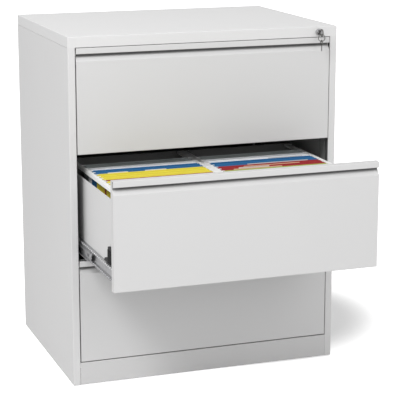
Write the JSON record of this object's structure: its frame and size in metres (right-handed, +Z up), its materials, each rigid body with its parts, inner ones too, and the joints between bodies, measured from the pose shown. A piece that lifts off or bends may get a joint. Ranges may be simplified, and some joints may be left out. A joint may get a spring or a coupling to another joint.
{
  "type": "hanging file cabinet",
  "caption": "Free-standing steel office cabinet with wide drawers on ball bearing slides, hanging folder rails, a full-width grip slot in each front and one lock.",
  "frame": {"origin": "middle of the bounding box on the floor, with the middle drawer open as at rest", "axes": "+X to the right seen from the front, +Y to the back, so the drawers pull out along -Y, +Z up"},
  "size_m": [0.8, 0.94, 1],
  "materials": {
    "cover_paint": "satin light grey powder coat",
    "shell_paint": "satin light grey powder coat",
    "front_paint": "satin light grey powder coat",
    "inner_paint": "satin light grey powder coat",
    "zinc_steel": "bright zinc plated",
    "slide_steel": "bright zinc plated, cold rolled",
    "lock_chrome": "polished chrome",
    "key_metal": "nickel plated",
    "black_plastic": "matt moulded",
    "foot_plastic": "matt moulded",
    "grey_card": "matt card",
    "white_card": "matt card",
    "blue_card": "matt card",
    "yellow_card": "matt card",
    "brown_card": "matt card",
    "red_card": "matt card",
    "green_card": "matt card"
  },
  "bodies": {
    "carcass": {"top_cover": "cover_paint", "side_panel_left": "shell_paint", "side_panel_right": "shell_paint", "back_panel": "shell_paint", "bottom_pan": "inner_paint", "plinth_front": "shell_paint", "front_posts": "inner_paint", "rear_posts": "inner_paint", "levelling_feet": "foot_plastic", "foot_brackets": "zinc_steel", "lock_housing": "lock_chrome", "lock_nut": "zinc_steel", "bar_guides": "zinc_steel", "cabinet_slides_bottom": "slide_steel", "cabinet_slides_middle": "slide_steel", "cabinet_slides_top": "slide_steel"},
    "slide_middle_bottom": {"slide_middles_bottom": "slide_steel"},
    "ball_cage_bottom": {"ball_cages_bottom": "slide_steel"},
    "drawer_bottom": {"drawer_front_bottom": "front_paint", "front_liner_bottom": "inner_paint", "drawer_sides_bottom": "inner_paint", "drawer_tray_bottom": "inner_paint", "hanging_rails_bottom": "inner_paint", "drawer_slides_bottom": "slide_steel", "release_levers_bottom": "black_plastic", "lock_catch_bottom": "zinc_steel"},
    "slide_middle_middle": {"slide_middles_middle": "slide_steel"},
    "ball_cage_middle": {"ball_cages_middle": "slide_steel"},
    "drawer_middle": {"drawer_front_middle": "front_paint", "front_liner_middle": "inner_paint", "drawer_sides_middle": "inner_paint", "drawer_tray_middle": "inner_paint", "hanging_rails_middle": "inner_paint", "drawer_slides_middle": "slide_steel", "release_levers_middle": "black_plastic", "lock_catch_middle": "zinc_steel", "grey_folders": "grey_card", "white_folders": "white_card", "blue_folders": "blue_card", "yellow_folders": "yellow_card", "brown_folders": "brown_card", "red_folders": "red_card", "green_folders": "green_card"},
    "slide_middle_top": {"slide_middles_top": "slide_steel"},
    "ball_cage_top": {"ball_cages_top": "slide_steel"},
    "drawer_top": {"drawer_front_top": "front_paint", "front_liner_top": "inner_paint", "drawer_sides_top": "inner_paint", "drawer_tray_top": "inner_paint", "hanging_rails_top": "inner_paint", "drawer_slides_top": "slide_steel", "release_levers_top": "black_plastic", "lock_catch_top": "zinc_steel"},
    "lock_plug": {"lock_plug": "lock_chrome", "lock_cam": "zinc_steel"},
    "key": {"key": "key_metal"},
    "key_ring": {"key_ring": "key_metal"},
    "locking_bar": {"locking_bar": "zinc_steel"}
  },
  "joints": [
    {"name": "drawer_bottom_slide", "type": "slide", "parent": "carcass", "child": "drawer_bottom", "axis": [0, -1, 0], "range_m": [0, 0.5]},
    {"name": "slide_middle_bottom_slide", "type": "slide", "parent": "carcass", "child": "slide_middle_bottom", "axis": [0, -1, 0], "range_m": [0, 0.25]},
    {"name": "ball_cage_bottom_slide", "type": "slide", "parent": "carcass", "child": "ball_cage_bottom", "axis": [0, -1, 0], "range_m": [0, 0.125]},
    {"name": "drawer_middle_slide", "type": "slide", "parent": "carcass", "child": "drawer_middle", "axis": [0, -1, 0], "range_m": [-0.34, 0.16]},
    {"name": "slide_middle_middle_slide", "type": "slide", "parent": "carcass", "child": "slide_middle_middle", "axis": [0, -1, 0], "range_m": [-0.17, 0.08]},
    {"name": "ball_cage_middle_slide", "type": "slide", "parent": "carcass", "child": "ball_cage_middle", "axis": [0, -1, 0], "range_m": [-0.085, 0.04]},
    {"name": "drawer_top_slide", "type": "slide", "parent": "carcass", "child": "drawer_top", "axis": [0, -1, 0], "range_m": [0, 0.5]},
    {"name": "slide_middle_top_slide", "type": "slide", "parent": "carcass", "child": "slide_middle_top", "axis": [0, -1, 0], "range_m": [0, 0.25]},
    {"name": "ball_cage_top_slide", "type": "slide", "parent": "carcass", "child": "ball_cage_top", "axis": [0, -1, 0], "range_m": [0, 0.125]},
    {"name": "lock_turn", "type": "hinge", "parent": "carcass", "child": "lock_plug", "pos_m": [0.342, -0.13, 0.984], "axis": [0, -1, 0], "range_deg": [0, 90]},
    {"name": "key_pull", "type": "slide", "parent": "lock_plug", "child": "key", "axis": [0, -1, 0], "range_m": [0, 0.024]},
    {"name": "key_ring_swing", "type": "hinge", "parent": "key", "child": "key_ring", "pos_m": [0.342, -0.153, 0.97895], "axis": [1, 0, 0], "range_deg": [-60, 15]},
    {"name": "locking_bar_drop", "type": "slide", "parent": "carcass", "child": "locking_bar", "axis": [0, 0, -1], "range_m": [0, 0.01]}
  ],
  "couplings": [
    {"joint": "slide_middle_bottom_slide", "follows": "drawer_bottom_slide", "ratio": 0.5},
    {"joint": "ball_cage_bottom_slide", "follows": "drawer_bottom_slide", "ratio": 0.25},
    {"joint": "slide_middle_middle_slide", "follows": "drawer_middle_slide", "ratio": 0.5},
    {"joint": "ball_cage_middle_slide", "follows": "drawer_middle_slide", "ratio": 0.25},
    {"joint": "slide_middle_top_slide", "follows": "drawer_top_slide", "ratio": 0.5},
    {"joint": "ball_cage_top_slide", "follows": "drawer_top_slide", "ratio": 0.25},
    {"joint": "lock_turn", "follows": "locking_bar_drop", "rad_per_m": 157.08}
  ]
}
